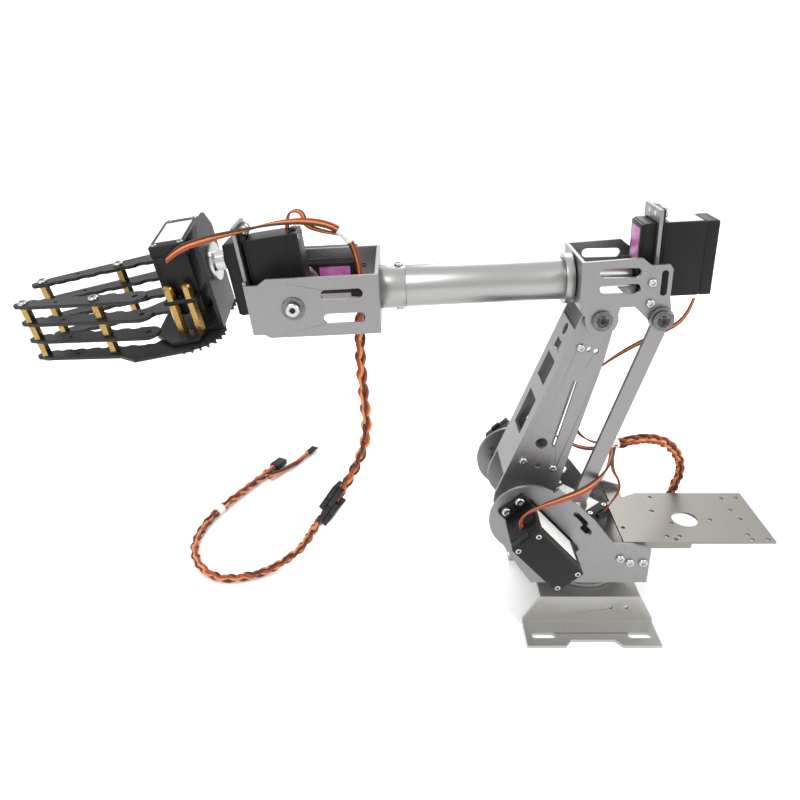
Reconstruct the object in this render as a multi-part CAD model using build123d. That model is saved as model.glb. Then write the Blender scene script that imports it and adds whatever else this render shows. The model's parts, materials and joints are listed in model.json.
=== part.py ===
"""Desktop robot arm: six servo joints and a two-finger gripper, in millimetres.

Frame: origin at the middle of the base on the table, under the turntable axis.
+X is the rear of the robot, the arm reaches towards -X, +Z is up.
"""
from build123d import *
from math import atan2, cos, degrees, pi, radians, sin, tan
import os

# Sheet and clearances
SHEET = 2.0
FIT = 0.05                 # radial clearance of a pin or shaft in its hole
GAP = 0.4                  # between plates that slide past each other

# Standard servo, measured from its shaft and from the mounting face of its ears
CASE_LONG, CASE_WIDE, CASE_DEEP = 40.7, 19.7, 29.0
SHAFT_INSET = 10.2         # shaft to the near end of the case
CASE_MIDDLE = CASE_LONG / 2 - SHAFT_INSET
EAR_LONG, EAR_THICK = 54.5, 2.5
EAR_HOLE_X, EAR_HOLE_Y, EAR_HOLE_R = 24.75, 5.0, 2.2
GEARBOX = 9.8
BOSS_R, BOSS_H = 5.5, 1.2
SPLINE_R, SPLINE_IN = 3.0, 4.0
WINDOW_LONG, WINDOW_WIDE = 41.3, 20.3

# Screws
SHANK_R, HEAD_R, HEAD_H = 1.5, 2.8, 1.8
HOLE_R = SHANK_R + FIT

# Base and turntable
BASE_TOP, BASE_X, BASE_Y = 22.0, 32.0, 33.0
FOOT_X, FOOT_Y, FOOT_MIDDLE_Y = 42.0, 55.0, 50.0
FOOT_SLOT = (30.5, 46.0, 15.0, 4.4)
RACE_R, RACE_H, RACE_BORE = 25.0, 3.0, 13.0
FLOOR_TOP = 39.0
YAW_LONG = 131.0           # way the yaw servo's long side points, seen from above
POST_TURNS = (90, 180, 270)

# Turret and shoulder
TURRET_Y = 37.0
SHOULDER_X, SHOULDER_Z, SHOULDER_R = -45.5, 84.5, 23.0
SERVO_TILT = -47.0
TRAY_TOP, TRAY_SHEET, TRAY_Y = 60.8, 1.6, 27.5

# Lower arm
ARM_LONG, ARM_TILT, ARM_Y = 124.0, 15.5, 17.0

# Linkage that carries the elbow drive up to the forearm
ROCKER = 31.5
CRANK_Y = (-21.9, -19.3)
ROD_Y = (-25.4, -22.4)
ROD_W, PIN_R = 9.0, 2.0

# Elbow, forearm and wrist, in a frame at the elbow pivot that pitches with the forearm
FOREARM_PITCH = 2.8
ELBOW_Y = 22.0
ELBOW_WEB, WEB_LOW = -12.5, 6.5
AXIS_Z = 18.0
ROLL_MOUNT = 30.5
TUBE_R, TUBE_WALL = 11.6, 2.0
TUBE_START, TUBE_END = -18.0, -119.5
WRIST_X, WRIST_Y = -165.0, 31.0

# Hand cradle, in a frame at the wrist pivot, and hand, in a frame on the roll axis
HAND_PITCH, HAND_ROLL = 9.0, 8.0
CRADLE_Y = 17.0
ROLL_AXIS = 24.0
HAND_MOUNT = -25.0
BRACKET_X = -46.5
GEAR_X, GEAR_R, TEETH = -62.0, 17.0, 24
GRIP_MOUNT = -13.5
STANDOFF = 18.0
PLATE_GAP = 0.6
LAYER_PITCH, LAYERS = 10.8, 4
FINGER_BACK = (-82.0, 27.9)
FINGER_LEAN = 12.0
MID_U, TIP_U = 24.5, 68.5

# Cords
LEAD_D, HARNESS_D, BRANCH_D = 4.0, 7.0, 4.5
FLOOR_LINE = HARNESS_D / 2 + 0.3

parts = {}


def add(name, *shapes):
    """Collects the separate solids of one node."""
    parts[name] = parts.get(name, []) + list(shapes)


def block(low, high):
    """A box between two opposite corners."""
    size = [b - a for a, b in zip(low, high)]
    middle = [(a + b) / 2 for a, b in zip(low, high)]
    return Pos(*middle) * Box(*size)


def plate(plane, sketch, low, high):
    """A flat plate of a sketch's outline, between two levels across its plane."""
    base = {"XY": Plane.XY.offset(low), "XZ": Plane.XZ.offset(-high), "YZ": Plane.YZ.offset(low)}[plane]
    return extrude(base * sketch, high - low, dir=base.z_dir)


def bar(axis, centre, radius, low, high):
    """A round bar along an axis; centre is its place on the other two axes."""
    sketch = Pos(*centre) * Circle(radius)
    return plate({"X": "YZ", "Y": "XZ", "Z": "XY"}[axis], sketch, low, high)


def ring(axis, centre, outer, inner, low, high):
    return bar(axis, centre, outer, low, high) - bar(axis, centre, inner, low - 1, high + 1)


def slot(x, y, length, width, angle=0):
    return Pos(x, y) * Rot(0, 0, angle) * SlotOverall(length, width)


def put(shape, origin, long_way, up_way):
    """Places a shape whose own X and Z run along the two given directions."""
    return Plane(origin=origin, x_dir=long_way, z_dir=up_way).location * shape


def screw(shank=5.0, head_r=HEAD_R, head_h=HEAD_H, shank_r=SHANK_R):
    """A domed socket screw: its head sits on z = 0 and its shank points down."""
    head = Pos(0, 0, head_h / 2) * Cylinder(head_r, head_h)
    head = fillet(head.edges().group_by(Axis.Z)[-1], head_h * 0.6)
    socket = extrude(Pos(0, 0, head_h * 0.4) * RegularPolygon(head_r * 0.5, 6), head_h)
    return head - socket + Pos(0, 0, -shank / 2) * Cylinder(shank_r, shank)


def screws(points, way, shank=5.0, head_r=HEAD_R):
    """Screws at the points, each pointing its head along one direction."""
    side = (0, 0, 1) if way[2] == 0 else (1, 0, 0)
    return [put(screw(shank, head_r), point, side, way) for point in points]


# --- servos ---------------------------------------------------------------

def servo():
    """Shaft on +Z, ears' mounting face at z = 0, long side along +X."""
    case = Pos(CASE_MIDDLE, 0, (GEARBOX - EAR_THICK - CASE_DEEP) / 2)
    case *= Box(CASE_LONG, CASE_WIDE, GEARBOX + EAR_THICK + CASE_DEEP)
    case = fillet(case.edges().filter_by(Axis.Z), 1.2)
    ears = Pos(CASE_MIDDLE, 0, -EAR_THICK / 2) * Box(EAR_LONG, CASE_WIDE - 0.7, EAR_THICK)
    ears = fillet(ears.edges().filter_by(Axis.Z), 2.0)
    body = case + ears + Pos(0, 0, GEARBOX + BOSS_H / 2) * Cylinder(BOSS_R, BOSS_H)
    for x in (-EAR_HOLE_X, EAR_HOLE_X):
        for y in (-EAR_HOLE_Y, EAR_HOLE_Y):
            body -= Pos(CASE_MIDDLE + x, y, -EAR_THICK / 2) * Cylinder(EAR_HOLE_R, 2 * EAR_THICK)
    bore = SPLINE_IN + BOSS_H + 0.5
    body -= Pos(0, 0, GEARBOX + BOSS_H - bore / 2) * Cylinder(SPLINE_R + FIT, bore)
    return body


def horn(disc_r, disc, reach, hub_r=5.5):
    """A servo's output: spline, hub and disc. disc and reach are heights over the ears."""
    start = GEARBOX + BOSS_H + 0.3
    spline = bar("Z", (0, 0), SPLINE_R, start - 0.3 - SPLINE_IN, start)
    hub = bar("Z", (0, 0), hub_r, start, max(disc, start + 0.5))
    return spline + hub + bar("Z", (0, 0), disc_r, disc, reach)


def servo_window():
    """The opening that a gearbox stands in, with the four ear holes, on its own plane."""
    holes = Pos(CASE_MIDDLE, 0) * Rectangle(WINDOW_LONG, WINDOW_WIDE)
    for x in (-EAR_HOLE_X, EAR_HOLE_X):
        for y in (-EAR_HOLE_Y, EAR_HOLE_Y):
            holes += Pos(CASE_MIDDLE + x, y) * Circle(HOLE_R)
    return holes


def ear_screws(ends=(-1, 1), shank=EAR_THICK + SHEET):
    """Screws through the ears, heads on the side of the case."""
    found = []
    for end in ends:
        for side in (-1, 1):
            place = Pos(CASE_MIDDLE + end * EAR_HOLE_X, side * EAR_HOLE_Y, -EAR_THICK)
            found.append(place * Rot(180, 0, 0) * screw(shank))
    return found


# --- base -----------------------------------------------------------------

def base_foot():
    """One foot flange, seen from above, on the +Y side: shorter in its middle."""
    corners = [(-FOOT_X, BASE_Y - SHEET), (FOOT_X, BASE_Y - SHEET), (FOOT_X, FOOT_Y), (18, FOOT_Y)]
    corners += [(14, FOOT_MIDDLE_Y), (-14, FOOT_MIDDLE_Y), (-18, FOOT_Y), (-FOOT_X, FOOT_Y)]
    foot = Polygon(*corners, align=None)
    x, y, length, width = FOOT_SLOT
    for side in (-1, 1):
        foot -= slot(side * x, y, length, width)
    return plate("XY", foot, 0, SHEET)


def base_panel():
    panel = Polygon((-BASE_X, BASE_TOP), (BASE_X, BASE_TOP), (FOOT_X, 4), (FOOT_X, 0),
                    (-FOOT_X, 0), (-FOOT_X, 4), align=None)
    for x in (14, 24):
        panel -= Pos(x, 13) * Circle(HOLE_R)
    return plate("XZ", panel, BASE_Y - SHEET, BASE_Y)


def make_base():
    top = plate("XY", Rectangle(2 * BASE_X, 2 * BASE_Y), BASE_TOP - SHEET, BASE_TOP)
    top -= bar("Z", (0, 0), 6.0, 0, BASE_TOP + 1)
    side = base_panel() + base_foot()
    bracket = top + side + mirror(side, about=Plane.XZ)
    race = ring("Z", (0, 0), RACE_R, RACE_BORE, BASE_TOP, BASE_TOP + RACE_H)
    places = [(20.5 * cos(radians(a)), 20.5 * sin(radians(a))) for a in (45, 135, 225, 315)]
    for x, y in places:
        bracket -= bar("Z", (x, y), HOLE_R, 0, BASE_TOP + 1)
        race -= bar("Z", (x, y), HOLE_R, 0, BASE_TOP + RACE_H + 1)
    add("base_bracket", bracket)
    add("turntable_ring", race)
    under = BASE_TOP - SHEET
    add("base_screws", *[put(screw(4.5), (x, y, under), (1, 0, 0), (0, 0, -1)) for x, y in places])


# --- turret ---------------------------------------------------------------

def turret_side():
    """One side plate in X and Z: a round shoulder, a sloping back and a low tail."""
    tail = [(-31.0, 103.5), (-29.0, 105.5), (-4.5, 82.0), (8.0, 66.3), (20.0, 65.8), (31.5, 62.0)]
    front = [(32.0, FLOOR_TOP - SHEET), (-40.0, FLOOR_TOP - SHEET), (-48.8, 49.5), (-61.5, 69.5)]
    side = Polygon(*tail, *front, align=None)
    side += Pos(SHOULDER_X, SHOULDER_Z) * Circle(SHOULDER_R)
    side -= Pos(SHOULDER_X, SHOULDER_Z) * Rot(0, 0, SERVO_TILT) * servo_window()
    side -= slot(-10.0, 76.5, 9, 4.4, SERVO_TILT)
    side -= slot(-14.0, 84.5, 13, 3.4, SERVO_TILT)
    for x, z in TAIL_HOLES:
        side -= Pos(x, z) * Circle(HOLE_R)
    return side


TAIL_HOLES = [(13.2, 55.5), (19.5, 52.5), (27.5, 52.5)]


def make_turret():
    side = turret_side()
    yaw_way = (cos(radians(YAW_LONG)), sin(radians(YAW_LONG)), 0)
    floor = plate("XY", Pos(-4, 0) * Rectangle(72, 2 * TURRET_Y), FLOOR_TOP - SHEET, FLOOR_TOP)
    floor -= put(extrude(servo_window(), 9, both=True), (0, 0, FLOOR_TOP), yaw_way, (0, 0, -1))
    frame = floor + plate("XZ", side, TURRET_Y - SHEET, TURRET_Y)
    frame += plate("XZ", side, -TURRET_Y, SHEET - TURRET_Y)
    low = BASE_TOP + RACE_H + 0.3
    race = ring("Z", (0, 0), RACE_R, RACE_BORE, low, low + RACE_H)
    turns = [radians(YAW_LONG + turn) for turn in POST_TURNS]
    posts = [bar("Z", (19 * cos(a), 19 * sin(a)), 3.0, low + RACE_H, FLOOR_TOP - SHEET) for a in turns]
    add("turret_frame", frame)
    add("turntable_race", race, *posts)
    add("yaw_servo", put(servo(), (0, 0, FLOOR_TOP), yaw_way, (0, 0, -1)))
    yaw_reach = FLOOR_TOP - BASE_TOP
    disc = horn(11.0, yaw_reach - RACE_H, yaw_reach)
    add("yaw_horn", put(disc, (0, 0, FLOOR_TOP), (0, 1, 0), (0, 0, -1)))
    long_way = (cos(radians(SERVO_TILT)), 0, sin(radians(SERVO_TILT)))
    near, far = (SHOULDER_X, -TURRET_Y, SHOULDER_Z), (SHOULDER_X, TURRET_Y, SHOULDER_Z)
    add("elbow_servo", put(servo(), near, long_way, (0, 1, 0)))
    add("shoulder_servo", put(servo(), far, long_way, (0, -1, 0)))
    held = [put(s, near, long_way, (0, 1, 0)) for s in ear_screws()]
    held += [put(s, far, long_way, (0, -1, 0)) for s in ear_screws()]
    held += [put(s, (0, 0, FLOOR_TOP), yaw_way, (0, 0, -1)) for s in ear_screws()]
    for way in (-1, 1):
        held += screws([(x, way * TURRET_Y, z) for x, z in TAIL_HOLES], (0, way, 0), shank=4)
    add("turret_screws", *held)
    make_tray()


TRAY_HOLES = [(49.0, 22.5), (45.2, 5.9), (21.1, -12.5), (53.5, -7.6), (80.1, -3.8), (46.2, -21.5)]
TRAY_HOLES += [(54.2, -21.5), (50.7, -25.0), (97.0, 20.8), (97.5, 7.1), (99.8, -3.2), (97.5, -20.2)]
TRAY_HOLES += [(98.2, -25.0), (108.3, -25.0), (107.3, 21.7)]


def make_tray():
    """The electronics plate behind the turret, with a lip and two fixing tabs."""
    edge = [(17.5, -TRAY_Y), (112.5, -TRAY_Y), (112.5, TRAY_Y), (40.0, TRAY_Y), (18.0, 16.0)]
    outline = Polygon(*edge, align=None) - Pos(63.9, -3.0) * Circle(8.2)
    for x, y in TRAY_HOLES:
        outline -= Pos(x, y) * Circle(1.4)
    tray = plate("XY", outline, TRAY_TOP - TRAY_SHEET, TRAY_TOP)
    tray += block((17.5, -TRAY_Y, TRAY_TOP - 5), (60, TRAY_SHEET - TRAY_Y, TRAY_TOP))
    inner = TURRET_Y - SHEET
    for way in (-1, 1):
        wide = sorted((way * 10, way * inner))
        arm = block((21, wide[0], TRAY_TOP - 3.2), (31, wide[1], TRAY_TOP - TRAY_SHEET))
        tab_y = sorted((way * inner, way * (inner - TRAY_SHEET)))
        tab = block((10.0, tab_y[0], 49.5), (31, tab_y[1], TRAY_TOP - TRAY_SHEET))
        for x, z in TAIL_HOLES:
            tab -= bar("Y", (x, z), HOLE_R, -40, 40)
        tray += arm + tab
    add("electronics_tray", tray)
    socket = block((60, TRAY_Y - 8, TRAY_TOP - 9), (71, TRAY_Y, TRAY_TOP - TRAY_SHEET))
    add("tray_socket", socket)


# --- lower arm and its linkage ---------------------------------------------

ARM_FRAME = Location((SHOULDER_X, 0, SHOULDER_Z), (0, ARM_TILT, 0))
ARM_SPACERS = [(-3.4, 104.6), (-9.5, 27.0), (9.5, 27.0)]


def arm_side():
    side = Polygon((-9.2, 122.0), (-18.3, 0.0), (17.8, 2.0), (12.4, 100.0), (9.4, ARM_LONG), align=None)
    side += Pos(0, ARM_LONG) * Circle(9.2) + Circle(18.0)
    side -= slot(2.8, 62.7, 44, 2.6, 94)
    side -= Pos(-3.0, 41.0) * Circle(3.6) + Pos(0.4, 26.0) * Circle(1.6)
    for x in (1.4, 5.8):
        side -= Pos(x, 104.8) * Circle(1.3)
    for point in ARM_SPACERS:
        side -= Pos(*point) * Circle(HOLE_R)
    return side - Pos(0, ARM_LONG) * Circle(2.5 + FIT)


def make_lower_arm():
    side = arm_side()
    near = plate("XZ", side - Circle(5.0 + FIT), -ARM_Y, SHEET - ARM_Y)
    far = plate("XZ", side - Circle(2.0), ARM_Y - SHEET, ARM_Y)
    lean = (18.3 - 9.2) / 122.0
    foot, head = 14.0, 113.0
    web = Polygon((-18.3 + lean * foot, foot), (-18.3 + lean * head, head),
                  (-18.3 + SHEET + lean * head, head), (-18.3 + SHEET + lean * foot, foot), align=None)
    channel = near + far + plate("XZ", web, -ARM_Y, ARM_Y)
    for half_y, low, high in [(9, 74, 90), (9, 40, 64), (5, 95, 101)]:
        channel -= block((-25, -half_y, low), (0, half_y, high))
    channel -= bar("X", (0, 108), 3.4, -25, 0)
    add("lower_arm_channel", ARM_FRAME * channel)
    inner = ARM_Y - SHEET
    add("arm_spacers", *[ARM_FRAME * bar("Y", p, 2.8, -inner, inner) for p in ARM_SPACERS])
    heads = screws([(x, -ARM_Y, z) for x, z in ARM_SPACERS], (0, -1, 0), SHEET, 2.4)
    heads += screws([(x, ARM_Y, z) for x, z in ARM_SPACERS], (0, 1, 0), SHEET, 2.4)
    add("arm_spacers", *[ARM_FRAME * s for s in heads])
    disc = horn(14.0, TURRET_Y - ARM_Y - 3, TURRET_Y - ARM_Y, 7.0)
    add("shoulder_horn", put(disc, (SHOULDER_X, TURRET_Y, SHOULDER_Z), (1, 0, 0), (0, -1, 0)))


def rocker_point(origin):
    """The point one rocker length behind a pivot, along the forearm's pitch."""
    x, z = origin
    return (x + ROCKER * cos(radians(FOREARM_PITCH)), z + ROCKER * sin(radians(FOREARM_PITCH)))


SHOULDER = (SHOULDER_X, SHOULDER_Z)
ELBOW = (SHOULDER_X + ARM_LONG * sin(radians(ARM_TILT)), SHOULDER_Z + ARM_LONG * cos(radians(ARM_TILT)))
CRANK_PIN = rocker_point(SHOULDER)
REAR_PIN = rocker_point(ELBOW)


def link(start, end, width):
    """The outline of a flat link with round ends between two points."""
    (x0, z0), (x1, z1) = start, end
    length = ((x1 - x0) ** 2 + (z1 - z0) ** 2) ** 0.5
    angle = degrees(atan2(z1 - z0, x1 - x0))
    return slot((x0 + x1) / 2, (z0 + z1) / 2, length + width, width, angle)


def make_linkage():
    lever = link(SHOULDER, CRANK_PIN, 13) + Pos(*SHOULDER) * Circle(10)
    crank = plate("XZ", lever - Pos(*CRANK_PIN) * Circle(PIN_R + FIT), *CRANK_Y)
    start = GEARBOX + BOSS_H + 0.3 - TURRET_Y
    crank += bar("Y", SHOULDER, 7.5, start, CRANK_Y[0])
    crank += bar("Y", SHOULDER, SPLINE_R, start - SPLINE_IN, start)
    crank += bar("Y", SHOULDER, 5.0, CRANK_Y[1], SHEET - ARM_Y + 0.6)
    add("elbow_crank", crank)
    outline = link(CRANK_PIN, REAR_PIN, ROD_W)
    outline += Pos(*CRANK_PIN) * Circle(6.3) + Pos(*REAR_PIN) * Circle(6.5)
    outline -= Pos(*CRANK_PIN) * Circle(PIN_R) + Pos(*REAR_PIN) * Circle(PIN_R + 0.1)
    add("link_rod", plate("XZ", outline, *ROD_Y))
    pin = bar("Y", CRANK_PIN, PIN_R, ROD_Y[0] - 1, CRANK_Y[1] + 0.4)
    pin += bar("Y", CRANK_PIN, 3.6, ROD_Y[0] - 1, ROD_Y[0])
    add("crank_pin", pin + bar("Y", CRANK_PIN, 3.4, CRANK_Y[1] + 0.4, CRANK_Y[1] + 1.2))


# --- elbow and forearm ------------------------------------------------------

FOREARM = Location((ELBOW[0], 0, ELBOW[1]), (0, -FOREARM_PITCH, 0))
ELBOW_TABS = [(25.0, 20.0), (25.0, 8.6)]


def elbow_side():
    """One cheek in the forearm's frame: lobe at the pivot, round ear at the rear pin."""
    top = [(ELBOW_WEB, 32.5), (19.0, 33.5), (24.0, 29.4), (33.5, 29.6), (35.5, 27.0), (35.5, 12.0)]
    low = [(37.4, 1.0), (26.0, -2.0), (17.0, 7.0), (9.5, 7.0), (8.0, 0.5), (-8.2, 1.0), (ELBOW_WEB, WEB_LOW)]
    side = Polygon(*top, *low, align=None)
    side += Circle(9.0) + Pos(ROCKER, 0) * Circle(6.5)
    side -= slot(8.0, 26.0, 22, 5.2, -1.5) + slot(8.5, 17.3, 22, 5.2, -1.5)
    side -= slot(31.5, 19.5, 14, 3.6, 90)
    for point in ELBOW_TABS:
        side -= Pos(*point) * Circle(HOLE_R)
    return side - Circle(2.5) - Pos(ROCKER, 0) * Circle(PIN_R)


def make_elbow():
    side = elbow_side()
    bracket = plate("XZ", side, -ELBOW_Y, SHEET - ELBOW_Y) + plate("XZ", side, ELBOW_Y - SHEET, ELBOW_Y)
    bracket += block((ELBOW_WEB, -ELBOW_Y, WEB_LOW), (ELBOW_WEB + SHEET, ELBOW_Y, 32.5))
    bracket -= bar("X", (0, AXIS_Z), 10.0, ELBOW_WEB - 1, ELBOW_WEB + SHEET + 1)
    add("elbow_bracket", FOREARM * bracket)
    inside = ELBOW_WEB + SHEET
    bearing = ring("X", (0, AXIS_Z), 10.0, 8.0 + FIT, ELBOW_WEB - 0.5, inside + 2)
    bearing += ring("X", (0, AXIS_Z), 12.0, 8.0 + FIT, inside, inside + 2)
    add("tube_bearing", FOREARM * bearing)
    pin = bar("Y", (0, 0), 2.5, -ELBOW_Y - 1.2, ELBOW_Y + 1.2)
    for way in (-1, 1):
        pin += bar("Y", (0, 0), 4.4, *sorted((way * ELBOW_Y, way * (ELBOW_Y + 1.2))))
    rear = bar("Y", (ROCKER, 0), PIN_R, ROD_Y[0] - 1.6, SHEET - ELBOW_Y)
    rear += bar("Y", (ROCKER, 0), 4.0, ROD_Y[0] - 1.6, ROD_Y[0] - GAP)
    add("elbow_pins", FOREARM * pin, FOREARM * rear)
    washers = []
    for way in (-1, 1):
        reach = sorted((way * (ARM_Y + GAP), way * (ELBOW_Y - SHEET)))
        washers.append(FOREARM * ring("Y", (0, 0), 6.0, 2.5, *reach))
    add("elbow_washers", *washers)
    make_roll_drive()


def make_roll_drive():
    """The servo behind the elbow that turns the forearm tube, and its cross plate."""
    axis = (ROLL_MOUNT, 0, AXIS_Z)
    inner = ELBOW_Y - SHEET
    outline = Pos(0, 33) * Rectangle(26, 46) + Pos(0, 15) * Rectangle(2 * inner, 24)
    outline -= Pos(0, AXIS_Z) * Rot(0, 0, 90) * servo_window()
    cross = plate("YZ", outline, ROLL_MOUNT - SHEET, ROLL_MOUNT)
    for way in (-1, 1):
        wide = sorted((way * inner, way * (inner - SHEET)))
        tab = block((20.5, wide[0], 4.5), (ROLL_MOUNT, wide[1], 24.0))
        for point in ELBOW_TABS:
            tab -= bar("Y", point, HOLE_R, -30, 30)
        cross += tab
    add("roll_servo_plate", FOREARM * cross)
    add("roll_servo", FOREARM * put(servo(), axis, (0, 0, 1), (-1, 0, 0)))
    held = [put(s, axis, (0, 0, 1), (-1, 0, 0)) for s in ear_screws()]
    for way in (-1, 1):
        held += screws([(x, way * ELBOW_Y, z) for x, z in ELBOW_TABS], (0, way, 0), 4, 2.4)
    add("elbow_screws", *[FOREARM * s for s in held])


def wrist_side():
    """One cheek of the wrist bracket, in the forearm's frame."""
    edge = [(TUBE_END, 34.2), (-178.2, 34.2), (-182.8, 31.0), (-189.9, 31.0)]
    edge += [(-187.8, 4.0), (-182.0, 4.0), (-178.5, 2.0), (TUBE_END, 2.0)]
    return Polygon(*edge, align=None)


def make_forearm():
    start = ROLL_MOUNT - GEARBOX - BOSS_H - 0.3
    spindle = bar("X", (0, AXIS_Z), 8.0, TUBE_START, -5.0)
    spindle += bar("X", (0, AXIS_Z), 6.0, -5.0, start)
    spindle += bar("X", (0, AXIS_Z), SPLINE_R, start, start + SPLINE_IN)
    add("roll_spindle", FOREARM * spindle)
    add("tube_collar", FOREARM * ring("X", (0, AXIS_Z), 14.0, 8.0, TUBE_START, ELBOW_WEB - 0.9))
    tube = ring("X", (0, AXIS_Z), TUBE_R, TUBE_R - TUBE_WALL, TUBE_END + 14, TUBE_START)
    sleeve = ring("X", (0, AXIS_Z), TUBE_R + 0.5, TUBE_R - TUBE_WALL, TUBE_END, TUBE_END + 14)
    for way in (-1, 1):
        reach = sorted((way * 5, way * 14))
        sleeve -= bar("Z", (TUBE_END + 10.5, 0), HOLE_R, AXIS_Z + reach[0], AXIS_Z + reach[1])
    add("forearm_tube", FOREARM * tube)
    add("tube_sleeve", FOREARM * sleeve)
    make_wrist_bracket()


def make_wrist_bracket():
    side = wrist_side()
    pivot = Pos(WRIST_X, AXIS_Z)
    near = side - pivot * Circle(5.0) - slot(-139.0, 24.6, 22, 5.4) - slot(-138.5, 11.4, 22, 5.4)
    far = side - pivot * servo_window()
    bracket = plate("XZ", near, -WRIST_Y, SHEET - WRIST_Y) + plate("XZ", far, WRIST_Y - SHEET, WRIST_Y)
    bracket += block((TUBE_END - SHEET, -WRIST_Y, 2.0), (TUBE_END, WRIST_Y, 34.2))
    for y in (-24, 24):
        bracket -= block((TUBE_END - 5, y - 2, 12), (TUBE_END + 1, y + 2, 24))
    add("wrist_bracket", FOREARM * bracket)
    mount = (WRIST_X, WRIST_Y, AXIS_Z)
    add("wrist_servo", FOREARM * put(servo(), mount, (1, 0, 0), (0, -1, 0)))
    centre = (WRIST_X, AXIS_Z)
    bearing = ring("Y", centre, 5.0, PIN_R + FIT, -WRIST_Y, SHEET - WRIST_Y)
    bearing += ring("Y", centre, 6.2, PIN_R + FIT, -WRIST_Y - 0.8, -WRIST_Y)
    add("wrist_bearing", FOREARM * bearing)
    held = [put(s, mount, (1, 0, 0), (0, -1, 0)) for s in ear_screws()]
    for way in (-1, 1):
        seat = (TUBE_END + 10.5, 0, AXIS_Z + way * (TUBE_R + 0.5))
        held.append(put(screw(2.4, 2.4, 1.4), seat, (1, 0, 0), (0, 0, way)))
    add("forearm_screws", *[FOREARM * s for s in held])
    clip = block((-136, -6, 15), (TUBE_END - SHEET, 6, 22))
    clip -= bar("Z", (-130.5, 0), HARNESS_D / 2 + 0.2, 10, 30)
    add("cable_clip", FOREARM * clip)


# --- hand cradle and hand ---------------------------------------------------

WRIST = FOREARM * Location((WRIST_X, 0, AXIS_Z), (0, FOREARM_PITCH - HAND_PITCH, 0))
HAND = WRIST * Location((0, 0, ROLL_AXIS), (HAND_ROLL, 0, 0))


def make_cradle():
    axis = (HAND_MOUNT, 0, ROLL_AXIS)
    web = Pos(0, 26) * Rectangle(26, 33) + Pos(0, 0) * Rectangle(2 * CRADLE_Y, 28)
    web -= Pos(0, ROLL_AXIS) * Rot(0, 0, -90) * servo_window()
    cradle = plate("YZ", web, HAND_MOUNT - SHEET, HAND_MOUNT)
    back = HAND_MOUNT - SHEET
    cheek = Polygon((back, -12), (-6, -9), (0, -9), (0, 9), (back, 12), align=None)
    cheek += Circle(9.0)
    cheek -= Circle(PIN_R)
    for low, high in [(-CRADLE_Y, SHEET - CRADLE_Y), (CRADLE_Y - SHEET, CRADLE_Y)]:
        cradle += plate("XZ", cheek, low, high)
    add("hand_cradle", WRIST * cradle)
    pin = bar("Y", (0, 0), PIN_R, -WRIST_Y - 1.4, SHEET - CRADLE_Y)
    pin += bar("Y", (0, 0), 4.0, SHEET - WRIST_Y + GAP, -CRADLE_Y)
    pin += bar("Y", (0, 0), 3.6, -WRIST_Y - 3.0, -WRIST_Y - 1.2)
    add("wrist_pin", WRIST * pin)
    disc = horn(9.5, WRIST_Y - CRADLE_Y - 2.6, WRIST_Y - CRADLE_Y)
    add("wrist_horn", WRIST * put(disc, (0, WRIST_Y, 0), (1, 0, 0), (0, -1, 0)))
    add("hand_roll_servo", WRIST * put(servo(), axis, (0, 0, -1), (-1, 0, 0)))
    held = [put(s, axis, (0, 0, -1), (-1, 0, 0)) for s in ear_screws()]
    add("cradle_screws", *[WRIST * s for s in held])


SERVO_Y = GEAR_R - CASE_MIDDLE
GRIP_PLATE = GRIP_MOUNT - STANDOFF
BRACKET_Y = (-15.5, 21.5)
GEAR_TOP = GRIP_PLATE - SHEET - PLATE_GAP


def standoff_places():
    across, along = (-EAR_HOLE_Y, EAR_HOLE_Y), (-EAR_HOLE_X, EAR_HOLE_X)
    return [(GEAR_X + x, SERVO_Y + y) for x in across for y in along]


def gripper_shelf():
    """The rounded shelf under the gripper servo, seen from above."""
    low, high = BRACKET_Y
    near = [(BRACKET_X, low), (-53, low), (-56, -28), (-71, -29), (-83, -16)]
    far = [(-83, 24), (-71, 39), (-56, 38), (-53, high), (BRACKET_X, high)]
    shelf = fillet(Polygon(*near, *far, align=None).vertices(), 2.5)
    shelf += Pos(BRACKET_X + SHEET / 2 - 2, 3) * Rectangle(SHEET + 4, high - low)
    shelf -= Pos(GEAR_X, GEAR_R) * Circle(7.5) + Pos(GEAR_X, -GEAR_R) * Circle(PIN_R)
    for place in standoff_places():
        shelf -= Pos(*place) * Circle(HOLE_R)
    return shelf


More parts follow.
